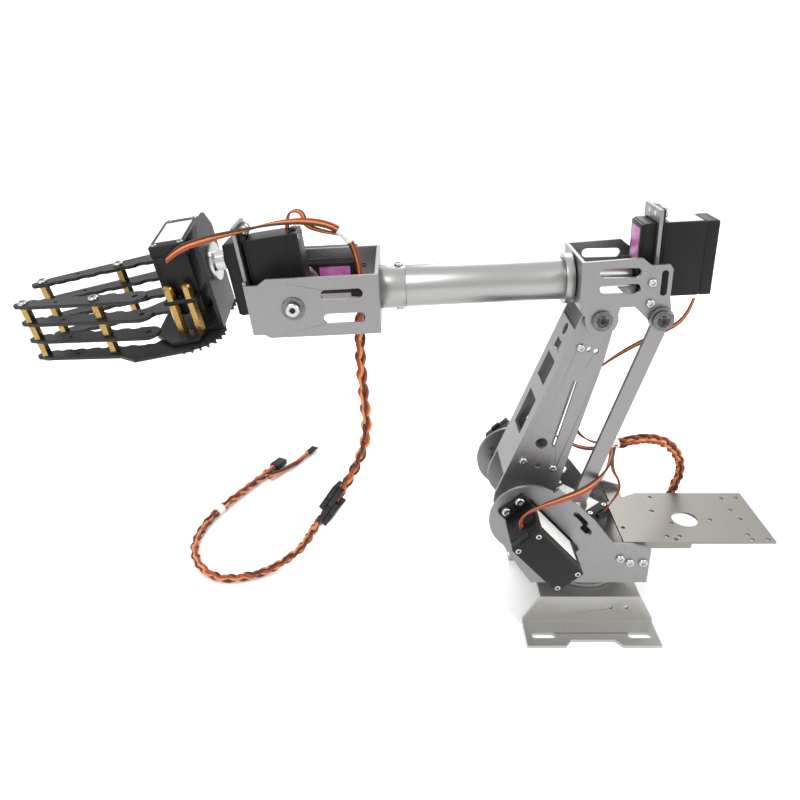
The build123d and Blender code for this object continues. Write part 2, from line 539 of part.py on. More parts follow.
def make_hand():
    low, high = BRACKET_Y
    wall = Polygon((low, GRIP_PLATE - SHEET), (high, GRIP_PLATE - SHEET), (high, 14.0), (high - 9, 24.0),
                   (low + 8, 24.0), (low, 16.0), align=None)
    bracket = plate("YZ", wall, BRACKET_X, BRACKET_X + SHEET)
    bracket += plate("XY", gripper_shelf(), GRIP_PLATE - SHEET, GRIP_PLATE)
    bracket -= bar("X", (0, 0), 3.0, BRACKET_X - 1, BRACKET_X + SHEET + 1)
    add("gripper_bracket", HAND * bracket)
    reach = HAND_MOUNT - BRACKET_X - SHEET
    disc = horn(10.5, reach - 3, reach)
    add("hand_roll_horn", HAND * put(disc, (HAND_MOUNT, 0, 0), (0, 0, -1), (-1, 0, 0)))
    add("gripper_servo", HAND * put(servo(), (GEAR_X, GEAR_R, GRIP_MOUNT), (0, -1, 0), (0, 0, -1)))
    hexagon = RegularPolygon(2.9, 6)
    legs, caps = [], []
    for x, y in standoff_places():
        leg = extrude(Pos(x, y, GRIP_PLATE) * hexagon, STANDOFF)
        legs.append(HAND * (leg + bar("Z", (x, y), SHANK_R, GRIP_PLATE - SHEET, GRIP_PLATE)))
        cap = extrude(Pos(x, y, GRIP_MOUNT + EAR_THICK) * hexagon, 6.5)
        caps.append(HAND * (cap + bar("Z", (x, y), SHANK_R, GRIP_MOUNT, GRIP_MOUNT + EAR_THICK)))
    add("gripper_standoffs", *legs, *caps)
    pivot = (GEAR_X, -GEAR_R)
    pin = bar("Z", pivot, PIN_R, GEAR_TOP - SHEET - 2, GRIP_PLATE + 2.0)
    pin += bar("Z", pivot, 3.6, GEAR_TOP - SHEET - 2.2, GEAR_TOP - SHEET - 0.4)
    pin += extrude(Pos(*pivot, GRIP_PLATE) * RegularPolygon(2.6, 6), 2.0)
    add("gear_pin", HAND * pin)


# --- fingers ------------------------------------------------------------------

def gear():
    """A spur gear's outline about its own centre, one tooth pointing along +X."""
    pitch = 2 * pi / TEETH
    root, tip = GEAR_R - 1.9, GEAR_R + 1.4
    outline = Circle(root)
    half_root, half_tip = pitch * 0.27, pitch * 0.10
    for i in range(TEETH):
        corners = [(root - 1, -half_root), (tip, -half_tip), (tip, half_tip), (root - 1, half_root)]
        points = [(r * cos(a), r * sin(a)) for r, a in corners]
        outline += Rot(0, 0, degrees(i * pitch)) * Polygon(*points, align=None)
    return outline


FINGER_SCALLOPS = [(11.5, 10.3, 5.2), (22.0, 10.0, 5.0), (35.0, 8.9, 4.6), (45.0, 8.2, 4.2)]
FINGER_SCALLOPS += [(53.5, 7.7, 3.8), (61.5, 7.0, 3.5)]


def finger_bar():
    """A finger layer in its own frame: u runs to the tip, the inner side is +v."""
    bar_shape = Polygon((0, -5.6), (64, -4.4), (72, -3.0), (72, 2.6), (66, 4.2), (0, 7.0), align=None)
    bar_shape += Pos(0, 0.7) * Circle(6.3) + Pos(72, -0.2) * Circle(2.8)
    for u, v, radius in FINGER_SCALLOPS:
        bar_shape -= Pos(u, v) * Circle(radius)
    bar_shape -= Pos(MID_U, 0) * Circle(HOLE_R) + Pos(TIP_U, -0.4) * Circle(HOLE_R)
    return bar_shape - Pos(0, 0.7) * Circle(1.5) - Pos(48, -0.6) * Circle(1.0)


FINGER_FRAME = Location((FINGER_BACK[0], FINGER_BACK[1], 0), (0, 0, 180 + FINGER_LEAN))


def geared_layer(turned):
    """The lowest layer of the far finger: the same bar, grown into a lever and a gear."""
    edge = [(GEAR_X + 2, 33.6), (-91.5, 36.5), (-104, 27.5), (-96, 19.5), (-84, 21), (-74, 9)]
    lever = Polygon(*edge, align=None)
    layer = FINGER_FRAME * finger_bar() + lever
    return layer + Pos(GEAR_X, GEAR_R) * Rot(0, 0, turned) * gear()


def far_finger(turned, centre_r):
    """Every piece of a finger on the +Y side; the other one is its mirror image."""
    geared = geared_layer(turned) - Pos(GEAR_X, GEAR_R) * Circle(centre_r)
    place = [(FINGER_FRAME * Location((u, v, 0))).position for u, v in ((MID_U, 0), (TIP_U, -0.4))]
    points = [(p.X, p.Y) for p in place]
    for x, y in points:
        geared -= Pos(x, y) * Circle(HOLE_R)
    found = {"geared": [plate("XY", geared, GEAR_TOP - SHEET, GEAR_TOP)]}
    level = [GEAR_TOP - SHEET + i * LAYER_PITCH for i in range(LAYERS)]
    found["layers"] = [plate("XY", FINGER_FRAME * finger_bar(), low, low + SHEET) for low in level[1:]]
    found["spacers"], found["screws"] = [], []
    for x, y in points:
        for low in level[:-1]:
            leg = extrude(Pos(x, y, low + SHEET) * RegularPolygon(3.0, 6), LAYER_PITCH - SHEET)
            found["spacers"].append(leg)
        found["screws"].append(put(screw(SHEET, 2.9, 1.7), (x, y, level[-1] + SHEET), (1, 0, 0), (0, 0, 1)))
        found["screws"].append(put(screw(SHEET, 2.9, 1.7), (x, y, level[0]), (1, 0, 0), (0, 0, -1)))
        for low in level[1:-1]:
            found["screws"].append(bar("Z", (x, y), SHANK_R, low, low + SHEET))
    return found


def make_fingers():
    half_tooth = 180 / TEETH
    far = far_finger(0.0, 2.0)
    near = far_finger(half_tooth, PIN_R + FIT)
    for key, name in [("geared", "gear_finger"), ("layers", "finger_plates"),
                      ("spacers", "finger_spacers"), ("screws", "finger_screws")]:
        add("far_" + name, *[HAND * s for s in far[key]])
        add("near_" + name, *[HAND * mirror(s, about=Plane.XZ) for s in near[key]])
    reach = GRIP_MOUNT - GEAR_TOP
    output = horn(6.0, GEARBOX + BOSS_H + 0.8, reach) + bar("Z", (0, 0), 2.0, reach, reach + SHEET)
    add("gripper_horn", HAND * put(output, (GEAR_X, GEAR_R, GRIP_MOUNT), (0, -1, 0), (0, 0, -1)))


# --- cords ------------------------------------------------------------------

def tube(name, points, diameter):
    """A cord's tube: straight runs joined by arcs as large as the runs allow."""
    spots = [Vector(*p) for p in points]
    runs = [(b - a).length for a, b in zip(spots, spots[1:])]
    radii = []
    for i in range(1, len(spots) - 1):
        turn = (spots[i] - spots[i - 1]).get_angle(spots[i + 1] - spots[i])
        radii.append(0.45 * min(runs[i - 1], runs[i]) / tan(radians(turn) / 2))
    line = FilletPolyline(*points, radius=radii)
    section = Plane(origin=line @ 0, z_dir=line % 0) * Circle(diameter / 2)
    solid = sweep(section, path=line)
    share = solid.volume / (pi * diameter ** 2 / 4 * line.length)
    print(name, "radii", [round(r) for r in radii])
    print("length", round(line.length), "volume share", round(share, 3))
    return solid


# The free harness: out of the clip, down beside the wrist, then along the table
CLIP = FOREARM * Location((-130.5, 0, 15))
HARNESS = [tuple(CLIP.position), (-145.6, 0.6, 182.4), (-143.6, 0.0, 152.0), (-141.2, 1.0, 120.0)]
HARNESS += [(-151.0, 4.0, 92.0), (-166.0, 10.0, 64.0), (-181.0, 19.0, 37.0), (-188.5, 24.5, 19.5)]
HARNESS += [(-198.5, 24.0, 9.5), (-210.0, 19.0, FLOOR_LINE), (-224.0, 9.5, FLOOR_LINE)]
HARNESS += [(-246.0, 5.0, FLOOR_LINE)]
HARNESS += [(-265.0, 20.0, FLOOR_LINE), (-275.0, 46.0, FLOOR_LINE), (-271.0, 76.0, FLOOR_LINE)]
HARNESS += [(-259.0, 103.0, FLOOR_LINE), (-244.0, 130.0, FLOOR_LINE), (-231.0, 155.0, FLOOR_LINE)]
BRANCH = [(-232.8, 138.8, 4.0), (-222.8, 151.0, 3.0), (-211.0, 166.0, 3.0), (-204.0, 181.0, 3.0)]
SPARE = 0.2

# The leads that the arm holds: gripper and hand servos to the clip, roll servo to the tray
FRONT = [(-245.5, -16.5, 236.0), (-238.0, -23.0, 243.0), (-224.0, -22.0, 248.0), (-205.0, -17.0, 251.5)]
FRONT += [(-184.0, -13.0, 255.5), (-164.0, -8.0, 254.5), (-151.0, -3.0, 247.0), (-145.0, 0.5, 233.0)]
FRONT += [tuple((FOREARM * Location((-130.5, 0, 22))).position)]
ROLL_LEAD = [(44.5, 0.0, 209.5), (43.0, 1.0, 197.0), (32.0, 2.0, 188.0), (14.0, 1.0, 178.0)]
ROLL_LEAD += [(-3.0, 0.0, 160.0), (-10.0, -1.0, 138.0), (-3.0, 1.0, 121.0), (12.0, 4.0, 117.0)]
ROLL_LEAD += [(31.0, 9.0, 118.0), (49.0, 17.0, 109.0), (61.0, 25.0, 92.0), (67.5, 31.5, 74.0)]
ROLL_LEAD += [(65.5, 32.6, 61.0), (65.5, 30.0, 54.0)]


def make_cords():
    end = Vector(*HARNESS[-1])
    way = (end - Vector(*HARNESS[-2])).normalized()
    add("free_harness", tube("free_harness", HARNESS, HARNESS_D))
    add("branch_lead", tube("branch_lead", BRANCH, BRANCH_D))
    plug = Pos(0, 0, 7.0) * Box(8.4, 5.0, 14.0)
    plug = fillet(plug.edges().filter_by(Axis.Z), 0.6)
    add("harness_plug", put(plug, tuple(end), (way.Y, -way.X, 0), tuple(way)))
    tip = Vector(*BRANCH[-1])
    out = (tip - Vector(*BRANCH[-2])).normalized()
    for x in (-2.3, 0, 2.3):
        pin = Pos(x, 0, 6.5) * Cylinder(1.0, 13.0)
        add("branch_tips", put(pin, tuple(tip), (out.Y, -out.X, 0), tuple(out)))
    middle = (Vector(*HARNESS[4]) + Vector(*HARNESS[5])) * 0.5
    run = (Vector(*HARNESS[5]) - Vector(*HARNESS[4])).normalized()
    sleeve = Box(11.0, 12.0, 15.0) - Cylinder(HARNESS_D / 2 + SPARE, 20.0)
    add("inline_connector", put(sleeve, tuple(middle), (0, 1, 0), tuple(run)))
    add("front_leads", tube("front_leads", FRONT, LEAD_D))
    add("rear_leads", tube("rear_leads", ROLL_LEAD, LEAD_D))


def main():
    for make in (make_base, make_turret, make_lower_arm, make_linkage, make_elbow, make_forearm,
                 make_cradle, make_hand, make_fingers, make_cords):
        make()
    os.makedirs("parts", exist_ok=True)
    for name, shapes in parts.items():
        solids = [s for shape in shapes for s in shape.solids()]
        export_step(solids[0] if len(solids) == 1 else Compound(solids), "parts/" + name + ".step")
    print(len(parts), "nodes")


main()
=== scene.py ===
"""Looks of the desktop robot arm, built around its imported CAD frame.

Lengths are millimetres in the tables and in each piece's own frame, and metres in Blender.
"""

import json
from math import cos, pi, radians, sin

import bmesh
import bpy
from mathutils import Matrix, Vector


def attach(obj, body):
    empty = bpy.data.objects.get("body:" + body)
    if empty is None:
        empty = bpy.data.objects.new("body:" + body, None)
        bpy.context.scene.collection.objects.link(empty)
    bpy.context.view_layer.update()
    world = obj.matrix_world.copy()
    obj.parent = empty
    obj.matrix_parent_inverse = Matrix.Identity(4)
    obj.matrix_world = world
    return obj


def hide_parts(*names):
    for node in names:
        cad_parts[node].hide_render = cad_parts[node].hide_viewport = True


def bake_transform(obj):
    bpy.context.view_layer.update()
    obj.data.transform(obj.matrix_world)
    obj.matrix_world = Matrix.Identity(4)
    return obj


MM = 0.001

# The arm at rest, as in the CAD source
SHOULDER = (-45.5, 84.5)
ARM_LONG, ARM_TILT = 124.0, 15.5
ELBOW = (SHOULDER[0] + ARM_LONG * sin(radians(ARM_TILT)), SHOULDER[1] + ARM_LONG * cos(radians(ARM_TILT)))
FOREARM_PITCH, HAND_PITCH, HAND_ROLL = 2.8, 9.0, 8.0
AXIS_Z, ROLL_AXIS = 18.0, 24.0
ROLL_MOUNT, WRIST_X, WRIST_Y, HAND_MOUNT = 30.5, -165.0, 31.0, -25.0
GEAR_X, GEAR_R, GRIP_MOUNT = -62.0, 17.0, -13.5
TURRET_Y, FLOOR_TOP, SERVO_TILT, YAW_LONG = 37.0, 39.0, -47.0, 131.0

# Servo case, in its own frame: shaft on +Z, ears' mounting face at z = 0
CASE_X, CASE_Y = (-10.2, 30.5), 9.85
CASE_LOW, CASE_HIGH, COVER_TOP = -31.5, 9.8, -24.6
EAR_X, EAR_Y, EAR_THICK = (-17.1, 37.4), 9.5, 2.5
EAR_HOLE_X, EAR_HOLE_Y, CASE_MIDDLE = 24.75, 5.0, 10.15

# Cords: route points of the CAD source, with most of the rear lead's moved, by up to 9 mm
FLOOR_LINE = 3.8
CLIP_LOW, CLIP_HIGH = (-130.5, 0.0, 15.0), (-130.5, 0.0, 22.0)
HARNESS_D, BRANCH_D, LEAD_D = 7.0, 4.5, 4.0
HARNESS = [(-145.6, 0.6, 182.4), (-143.6, 0.0, 152.0), (-141.2, 1.0, 120.0), (-151.0, 4.0, 92.0)]
HARNESS += [(-166.0, 10.0, 64.0), (-181.0, 19.0, 37.0), (-188.5, 24.5, 19.5), (-198.5, 24.0, 9.5)]
HARNESS += [(-210.0, 19.0, FLOOR_LINE), (-224.0, 9.5, FLOOR_LINE), (-246.0, 5.0, FLOOR_LINE)]
HARNESS += [(-265.0, 20.0, FLOOR_LINE), (-275.0, 46.0, FLOOR_LINE), (-271.0, 76.0, FLOOR_LINE)]
HARNESS += [(-259.0, 103.0, FLOOR_LINE), (-244.0, 130.0, FLOOR_LINE), (-231.0, 155.0, FLOOR_LINE)]
BRANCH = [(-232.8, 138.8, 4.0), (-222.8, 151.0, 3.0), (-211.0, 166.0, 3.0), (-204.0, 181.0, 3.0)]
FRONT = [(-245.5, -16.5, 236.0), (-238.0, -23.0, 243.0), (-224.0, -22.0, 248.0), (-205.0, -17.0, 251.5)]
FRONT += [(-184.0, -13.0, 255.5), (-164.0, -8.0, 254.5), (-151.0, -3.0, 247.0), (-145.0, 0.5, 233.0)]
REAR = [(44.5, 0.0, 209.5), (43.0, 1.0, 197.0), (30.0, 2.0, 188.0), (9.0, 1.0, 177.0)]
REAR += [(-12.0, 0.0, 160.0), (-19.0, -1.0, 138.0), (-10.0, 1.0, 118.0), (12.0, 4.0, 111.5)]
REAR += [(31.0, 9.0, 114.5), (50.0, 17.0, 108.0), (64.0, 25.0, 93.0), (71.0, 31.5, 76.0)]
REAR += [(68.0, 32.6, 62.0), (65.5, 30.0, 54.0)]
STRAND_STEP = 1.2

# Lengths over which twisted, plaited and flat leads make one turn
HARNESS_PITCH, BRANCH_PITCH, TRAY_PITCH, RIBBON_PITCH = 34.0, 60.0, 28.0, 150.0

# A plait: one lead's radius and its sideways and upward swing, as shares of the width, and its own twist
PLAIT_LEAD, PLAIT_SWAY, PLAIT_LIFT, PLAIT_TWIST = 0.27, 0.21, 0.17, 1.3

# Single servo leads, each up to its tape: points worked out from one view, at guessed depths
WIDE_LEAD, THIN_LEAD = 4.2, 2.8
ELBOW_LEAD = [(-51.5, -55.0, 90.5), (-54.0, -55.0, 94.5), (-51.1, -54.0, 100.2), (-41.1, -50.0, 102.4)]
ELBOW_LEAD += [(-27.7, -44.0, 103.6), (-16.3, -38.0, 104.2), (-6.9, -31.0, 105.6), (1.5, -21.0, 106.5)]
ELBOW_LEAD += [(9.2, -8.0, 110.0), (12.0, 3.0, 111.3)]
YAW_LEAD = [(9.0, -8.0, 70.0), (13.6, -8.0, 78.8), (17.0, -8.0, 86.3), (15.4, -8.0, 93.7)]
YAW_LEAD += [(9.6, -7.0, 101.8), (12.0, 2.0, 110.0)]
SHOULDER_LEAD = [(-50.0, 46.0, 88.0), (-40.0, 43.0, 97.0), (-27.0, 41.0, 101.5), (-15.0, 33.0, 102.5)]
SHOULDER_LEAD += [(-6.0, 20.0, 101.5), (3.0, 9.0, 106.0), (12.0, 4.5, 111.0)]
HAND_LEAD = [(-183.0, -1.0, 248.0), (-182.5, -3.0, 253.6), (-181.0, -4.0, 258.5), (-176.3, -6.0, 260.0)]
HAND_LEAD += [(-172.9, -9.0, 258.5), (-172.3, -8.0, 252.5), (-165.8, -6.0, 249.4), (-158.4, -5.0, 247.6)]
HAND_LEAD += [(-152.5, -3.0, 246.0)]
SERVO_LEADS = [
    ("elbow_servo_lead", ELBOW_LEAD, WIDE_LEAD),
    ("yaw_servo_lead", YAW_LEAD, THIN_LEAD),
    ("shoulder_servo_lead", SHOULDER_LEAD, THIN_LEAD),
]
TRAY_BUNDLE_D = 7.4

# Tapes: where the harness has one, their half lengths in strand steps, and the height of their ridges
HARNESS_TAPE = (-265.0, 90.0, 3.8)
HARNESS_TAPE_HALF, LEAD_TAPE_HALF, TAPE_RIDGE = 3, 4, 0.12

# Seats of the pivot bolts, from the middle of the arm
ELBOW_SEAT, ROD_SEAT, ROCKER = 23.2, 27.0, 31.5

# Turned profiles of the fittings, as (radius, height) pairs
SCREW_RING = [(1.6, -0.2), (1.6, 0.25), (1.35, 0.45), (0.95, 0.45)]
# A black hexagon disc stands in the cover screw's socket recess: painted shade.
SCREW_SOCKET_SHADE = [(0.9, 0.0), (0.9, 0.5)]
SERVO_SHAFT = [(6.4, 9.0), (6.4, 10.0), (5.5, 10.4), (5.5, 11.0), (3.2, 11.0)]
GRIPPER_CAP = [(2.9, -0.2), (2.9, 0.3), (2.5, 1.2), (1.5, 1.8), (0.5, 2.0)]
WRIST_BOLT = [(3.6, -0.4), (3.6, 0.3), (3.1, 0.7), (1.9, 0.7)]
# A black hexagon disc stands in the wrist bolt's socket recess: painted shade.
WRIST_SOCKET_SHADE = [(1.8, 0.1), (1.8, 0.72)]
PIVOT_RING = [(5.6, -1.1), (5.6, 0.5), (4.9, 0.9), (3.3, 0.9)]
PIVOT_BOLT = [(3.2, 0.0), (3.2, 1.4), (2.7, 1.8), (1.6, 1.8)]
# A near-black hexagon disc stands in the pivot bolt's socket recess: painted shade.
PIVOT_SOCKET_SHADE = [(1.5, 1.2), (1.5, 1.83)]

# Servo details: seams between the case's parts, cover screws, and labels that stand proud of the case
SEAM, SEAM_DEPTH, TOP_RIM, TOP_STEP = 0.2, 0.35, 1.2, 0.6
SCREW_INSET, SCREW_Y = 2.6, 7.2
LABEL_SUNK, LABEL_PROUD, LABEL_EDGE = 0.1, 0.14, 0.06

# Inline connectors: row, half length and place along the harness of each pair, then their section
CONNECTOR_ROWS = ((-1, 11.5, -5.0), (0, 18.5, 0.0), (1, 11.5, 5.0))
ROW_PITCH, HALF_WIDE, HALF_THICK = 3.9, 4.6, 1.85
JOINT_GAP, WAIST_HALF = 0.3, 4

# The view: place, angle below level and lens of the camera, and the brightness of the room
CAMERA_AT, CAMERA_DOWN = (-0.1246, -0.399, 0.340), 26
CAMERA_LENS, CAMERA_SENSOR, CAMERA_SHIFT = 33.075, 36.0, 0.00625
ROOM_STRENGTH = 1.28

# Edges of the CAD nodes, in metres
WELD_GAP, EDGE_BEVEL = 0.00001, 0.00022

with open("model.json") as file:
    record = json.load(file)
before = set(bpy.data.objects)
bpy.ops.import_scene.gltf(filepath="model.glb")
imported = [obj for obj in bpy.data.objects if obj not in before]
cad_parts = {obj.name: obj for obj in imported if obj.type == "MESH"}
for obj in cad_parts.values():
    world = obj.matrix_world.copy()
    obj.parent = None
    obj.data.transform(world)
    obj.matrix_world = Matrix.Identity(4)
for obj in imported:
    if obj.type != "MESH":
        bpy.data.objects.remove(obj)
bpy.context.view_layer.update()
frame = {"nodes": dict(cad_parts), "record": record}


def shift(x, y, z):
    return Matrix.Translation((x, y, z))


def turn(axis, degrees):
    return Matrix.Rotation(radians(degrees), 4, axis)


FOREARM = shift(ELBOW[0], 0, ELBOW[1]) @ turn("Y", -FOREARM_PITCH)
WRIST = FOREARM @ shift(WRIST_X, 0, AXIS_Z) @ turn("Y", FOREARM_PITCH - HAND_PITCH)
HAND = WRIST @ shift(0, 0, ROLL_AXIS) @ turn("X", HAND_ROLL)
ROW = Matrix.Identity(4)


def place(base, origin, long_way, up_way):
    """A frame inside another one, with its X and Z along the two given directions."""
    x, z = Vector(long_way).normalized(), Vector(up_way).normalized()
    y = z.cross(x)
    turned = Matrix((x, y, z)).transposed().to_4x4()
    return base @ Matrix.Translation(origin) @ turned


# --- camera, floor and light --------------------------------------------------

def make_camera():
    data = bpy.data.cameras.new("camera")
    data.lens, data.sensor_width, data.shift_x = CAMERA_LENS, CAMERA_SENSOR, CAMERA_SHIFT
    data.clip_start, data.clip_end = 0.01, 20.0
    camera = bpy.data.objects.new("camera", data)
    camera.location = CAMERA_AT
    camera.rotation_euler = (radians(90 - CAMERA_DOWN), 0, 0)
    bpy.context.scene.collection.objects.link(camera)
    bpy.context.scene.camera = camera


def area_light(name, location, target, size, power):
    data = bpy.data.lights.new(name, "AREA")
    data.shape, data.size, data.energy = "DISK", size, power
    light = bpy.data.objects.new(name, data)
    light.location = location
    way = Vector(target) - Vector(location)
    light.rotation_euler = way.to_track_quat("-Z", "Y").to_euler()
    bpy.context.scene.collection.objects.link(light)


def make_light():
    """A pale room, darker towards the horizon so that metal has something to reflect."""
    world = bpy.data.worlds.new("studio")
    bpy.context.scene.world = world
    world.use_nodes = True
    tree = world.node_tree
    coords = tree.nodes.new("ShaderNodeTexCoord")
    split = tree.nodes.new("ShaderNodeSeparateXYZ")
    ramp = tree.nodes.new("ShaderNodeValToRGB")
    low, high = ramp.color_ramp.elements
    low.position, low.color = 0.0, (0.80, 0.80, 0.80, 1)
    high.position, high.color = 0.75, (1.0, 1.0, 1.0, 1)
    tree.links.new(coords.outputs["Generated"], split.inputs["Vector"])
    tree.links.new(split.outputs["Z"], ramp.inputs["Fac"])
    tree.links.new(ramp.outputs["Color"], tree.nodes["Background"].inputs["Color"])
    tree.nodes["Background"].inputs["Strength"].default_value = ROOM_STRENGTH
    area_light("key", (-0.75, -0.8, 1.25), (-0.1, 0, 0.12), 0.9, 11.0)
    area_light("fill", (0.9, -0.5, 0.8), (-0.1, 0, 0.12), 0.8, 6.0)
    area_light("rim", (0.1, 1.1, 1.0), (-0.1, 0, 0.15), 0.8, 7.0)


def set_colours():
    """Plain display colours, so that the pale room stays white."""
    bpy.context.scene.view_settings.view_transform = "Standard"


# --- materials ----------------------------------------------------------------

def material(name, dark, pale, metallic, roughness, grain, stretch=(1, 1, 1), spread=0.06, bump=0.15,
             gloss=0.5):
    """Colour, roughness and bump from one noise whose grain is counted per metre."""
    made = bpy.data.materials.new(name)
    made.use_nodes = True
    tree = made.node_tree
    shader = tree.nodes["Principled BSDF"]
    shader.inputs["Metallic"].default_value = metallic
    shader.inputs["Specular IOR Level"].default_value = gloss
    coords = tree.nodes.new("ShaderNodeTexCoord")
    mapping = tree.nodes.new("ShaderNodeMapping")
    mapping.inputs["Scale"].default_value = stretch
    noise = tree.nodes.new("ShaderNodeTexNoise")
    noise.inputs["Scale"].default_value = grain
    noise.inputs["Detail"].default_value = 5.0
    ramp = tree.nodes.new("ShaderNodeValToRGB")
    ramp.color_ramp.elements[0].position, ramp.color_ramp.elements[1].position = 0.3, 0.7
    ramp.color_ramp.elements[0].color, ramp.color_ramp.elements[1].color = (*dark, 1), (*pale, 1)
    rough = tree.nodes.new("ShaderNodeMapRange")
    rough.inputs["To Min"].default_value = roughness - spread
    rough.inputs["To Max"].default_value = roughness + spread
    raised = tree.nodes.new("ShaderNodeBump")
    raised.inputs["Strength"].default_value = bump
    raised.inputs["Distance"].default_value = 0.0002
    tree.links.new(coords.outputs["Object"], mapping.inputs["Vector"])
    tree.links.new(mapping.outputs["Vector"], noise.inputs["Vector"])
    tree.links.new(noise.outputs["Fac"], ramp.inputs["Fac"])
    tree.links.new(noise.outputs["Fac"], rough.inputs["Value"])
    tree.links.new(noise.outputs["Fac"], raised.inputs["Height"])
    tree.links.new(ramp.outputs["Color"], shader.inputs["Base Color"])
    tree.links.new(rough.outputs["Result"], shader.inputs["Roughness"])
    tree.links.new(raised.outputs["Normal"], shader.inputs["Normal"])
    return made


BRUSHED = (0.3, 1, 1)
LOOKS = {
    "sheet_aluminium": material("sheet_aluminium", (0.225, 0.22, 0.22), (0.255, 0.25, 0.25), 0.9, 0.38, 2200,
                                BRUSHED, bump=0.08),
    "tray_metal": material("tray_metal", (0.21, 0.202, 0.185), (0.24, 0.23, 0.21), 0.8, 0.42, 2000,
                           BRUSHED, bump=0.08),
    "tube_aluminium": material("tube_aluminium", (0.31, 0.31, 0.305), (0.345, 0.345, 0.34), 0.95, 0.32, 1800,
                               spread=0.02, bump=0.02),
    "horn_metal": material("horn_metal", (0.42, 0.42, 0.42), (0.55, 0.55, 0.55), 1.0, 0.25, 1400),
    "servo_plastic": material("servo_plastic", (0.003, 0.003, 0.0033), (0.008, 0.008, 0.0088), 0.0, 0.42,
                              2600, bump=0.3, gloss=0.22),
    "steel": material("steel", (0.36, 0.36, 0.36), (0.52, 0.52, 0.52), 1.0, 0.2, 900),
    "bearing_steel": material("bearing_steel", (0.09, 0.09, 0.09), (0.19, 0.19, 0.19), 1.0, 0.3, 900),
    "black_plate": material("black_plate", (0.012, 0.012, 0.013), (0.028, 0.028, 0.030), 0.5, 0.42, 1600,
                            BRUSHED, gloss=0.3),
    "brass": material("brass", (0.26, 0.165, 0.05), (0.42, 0.28, 0.10), 1.0, 0.26, 800),
    "wire": material("wire", (0.46, 0.155, 0.045), (0.62, 0.22, 0.065), 0.0, 0.45, 900, gloss=0.3),
    "connector_plastic": material("connector_plastic", (0.003, 0.003, 0.003), (0.009, 0.009, 0.009), 0.0,
                                  0.42, 1500, gloss=0.25),
    "crimp_tips": material("crimp_tips", (0.004, 0.004, 0.004), (0.012, 0.012, 0.012), 0.0, 0.45, 1500,
                           gloss=0.25),
}
WIRE_RED = material("wire_red", (0.20, 0.036, 0.018), (0.30, 0.055, 0.026), 0.0, 0.45, 900, gloss=0.3)
WIRE_BROWN = material("wire_brown", (0.035, 0.012, 0.007), (0.07, 0.022, 0.011), 0.0, 0.45, 900, gloss=0.3)
BOLT_BLACK = material("bolt_black", (0.03, 0.03, 0.03), (0.09, 0.09, 0.09), 1.0, 0.26, 900)
# The base bracket's sheet aluminium, made paler and warmer than the rest of the sheet: a painted reflection.
BASE_SHEET_PAINTED_REFLECTION = material("base_sheet_painted_reflection", (0.40, 0.395, 0.378), (0.45, 0.445, 0.427), 0.8, 0.40, 2200, BRUSHED,
                      bump=0.08)
LABEL = material("label_paper", (0.60, 0.60, 0.58), (0.72, 0.72, 0.70), 0.0, 0.5, 600)
BADGE = material("badge_film", (0.30, 0.055, 0.24), (0.46, 0.12, 0.37), 0.0, 0.32, 260)
TAPE = material("tape_white", (0.58, 0.57, 0.53), (0.78, 0.77, 0.74), 0.0, 0.6, 700, bump=0.5)
FLOOR = material("floor_pale", (0.92, 0.92, 0.92), (0.94, 0.94, 0.94), 0.0, 0.6, 14, bump=0.02)
WIRES = [LOOKS["wire"], WIRE_RED, WIRE_BROWN]
PAINTED_REFLECTION_LOOKS = {"base_bracket": BASE_SHEET_PAINTED_REFLECTION}


def dress_cad_nodes():
    """Each CAD node takes its slot's material, the base bracket a paler, warmer copy of the sheet aluminium
    that paints a reflection, and its sharp edges a fine bevel.
    """
    for row in frame["record"]["subparts"]:
        node = frame["nodes"][row["node"]]
        if not node.material_slots:
            node.data.materials.append(None)
        for held in node.material_slots:
            held.material = PAINTED_REFLECTION_LOOKS.get(row["node"], LOOKS[row["material_slot"]])
        weld = node.modifiers.new("weld", "WELD")
        weld.merge_threshold = WELD_GAP
        bevel = node.modifiers.new("edge", "BEVEL")
        bevel.width, bevel.segments = EDGE_BEVEL, 2
        bevel.limit_method, bevel.angle_limit = "ANGLE", radians(40)


# --- mesh helpers ---------------------------------------------------------------

def paint_new(bm, before, look):
    for face in bm.faces:
        if face not in before:
            face.material_index = look


def rounded_box(bm, low, high, radius, look=0):
    """A box with rounded edges between two opposite corners."""
    before = set(bm.faces)
    size = Vector(high) - Vector(low)
    middle = (Vector(high) + Vector(low)) / 2
    matrix = Matrix.Translation(middle) @ Matrix.Diagonal((*size, 1))
    verts = bmesh.ops.create_cube(bm, size=1.0, matrix=matrix)["verts"]
    edges = list({edge for vert in verts for edge in vert.link_edges})
    bmesh.ops.bevel(bm, geom=edges, offset=radius, segments=3, affect="EDGES", profile=0.5)
    paint_new(bm, before, look)


def skin(bm, rings, look=0):
    """The closed surface over a row of rings: two end caps and the faces between them."""
    made = [bm.faces.new(rings[0][::-1]), bm.faces.new(rings[-1])]
    for a, b in zip(rings, rings[1:]):
        for i in range(len(a)):
            j = (i + 1) % len(a)
            made.append(bm.faces.new((a[i], a[j], b[j], b[i])))
    for face in made:
        face.material_index = look


def lathe(bm, profile, centre=(0, 0, 0), look=0, sides=32, flip=False):
    """A closed turned shape from (radius, height) pairs about Z."""
    way = -1 if flip else 1
    corners = [2 * pi * i / sides for i in range(sides)]
    rings = []
    for r, z in profile:
        spots = [(r * cos(a), r * sin(a) * way, z * way) for a in corners]
        rings.append([bm.verts.new(Vector(centre) + Vector(spot)) for spot in spots])
    skin(bm, rings, look)


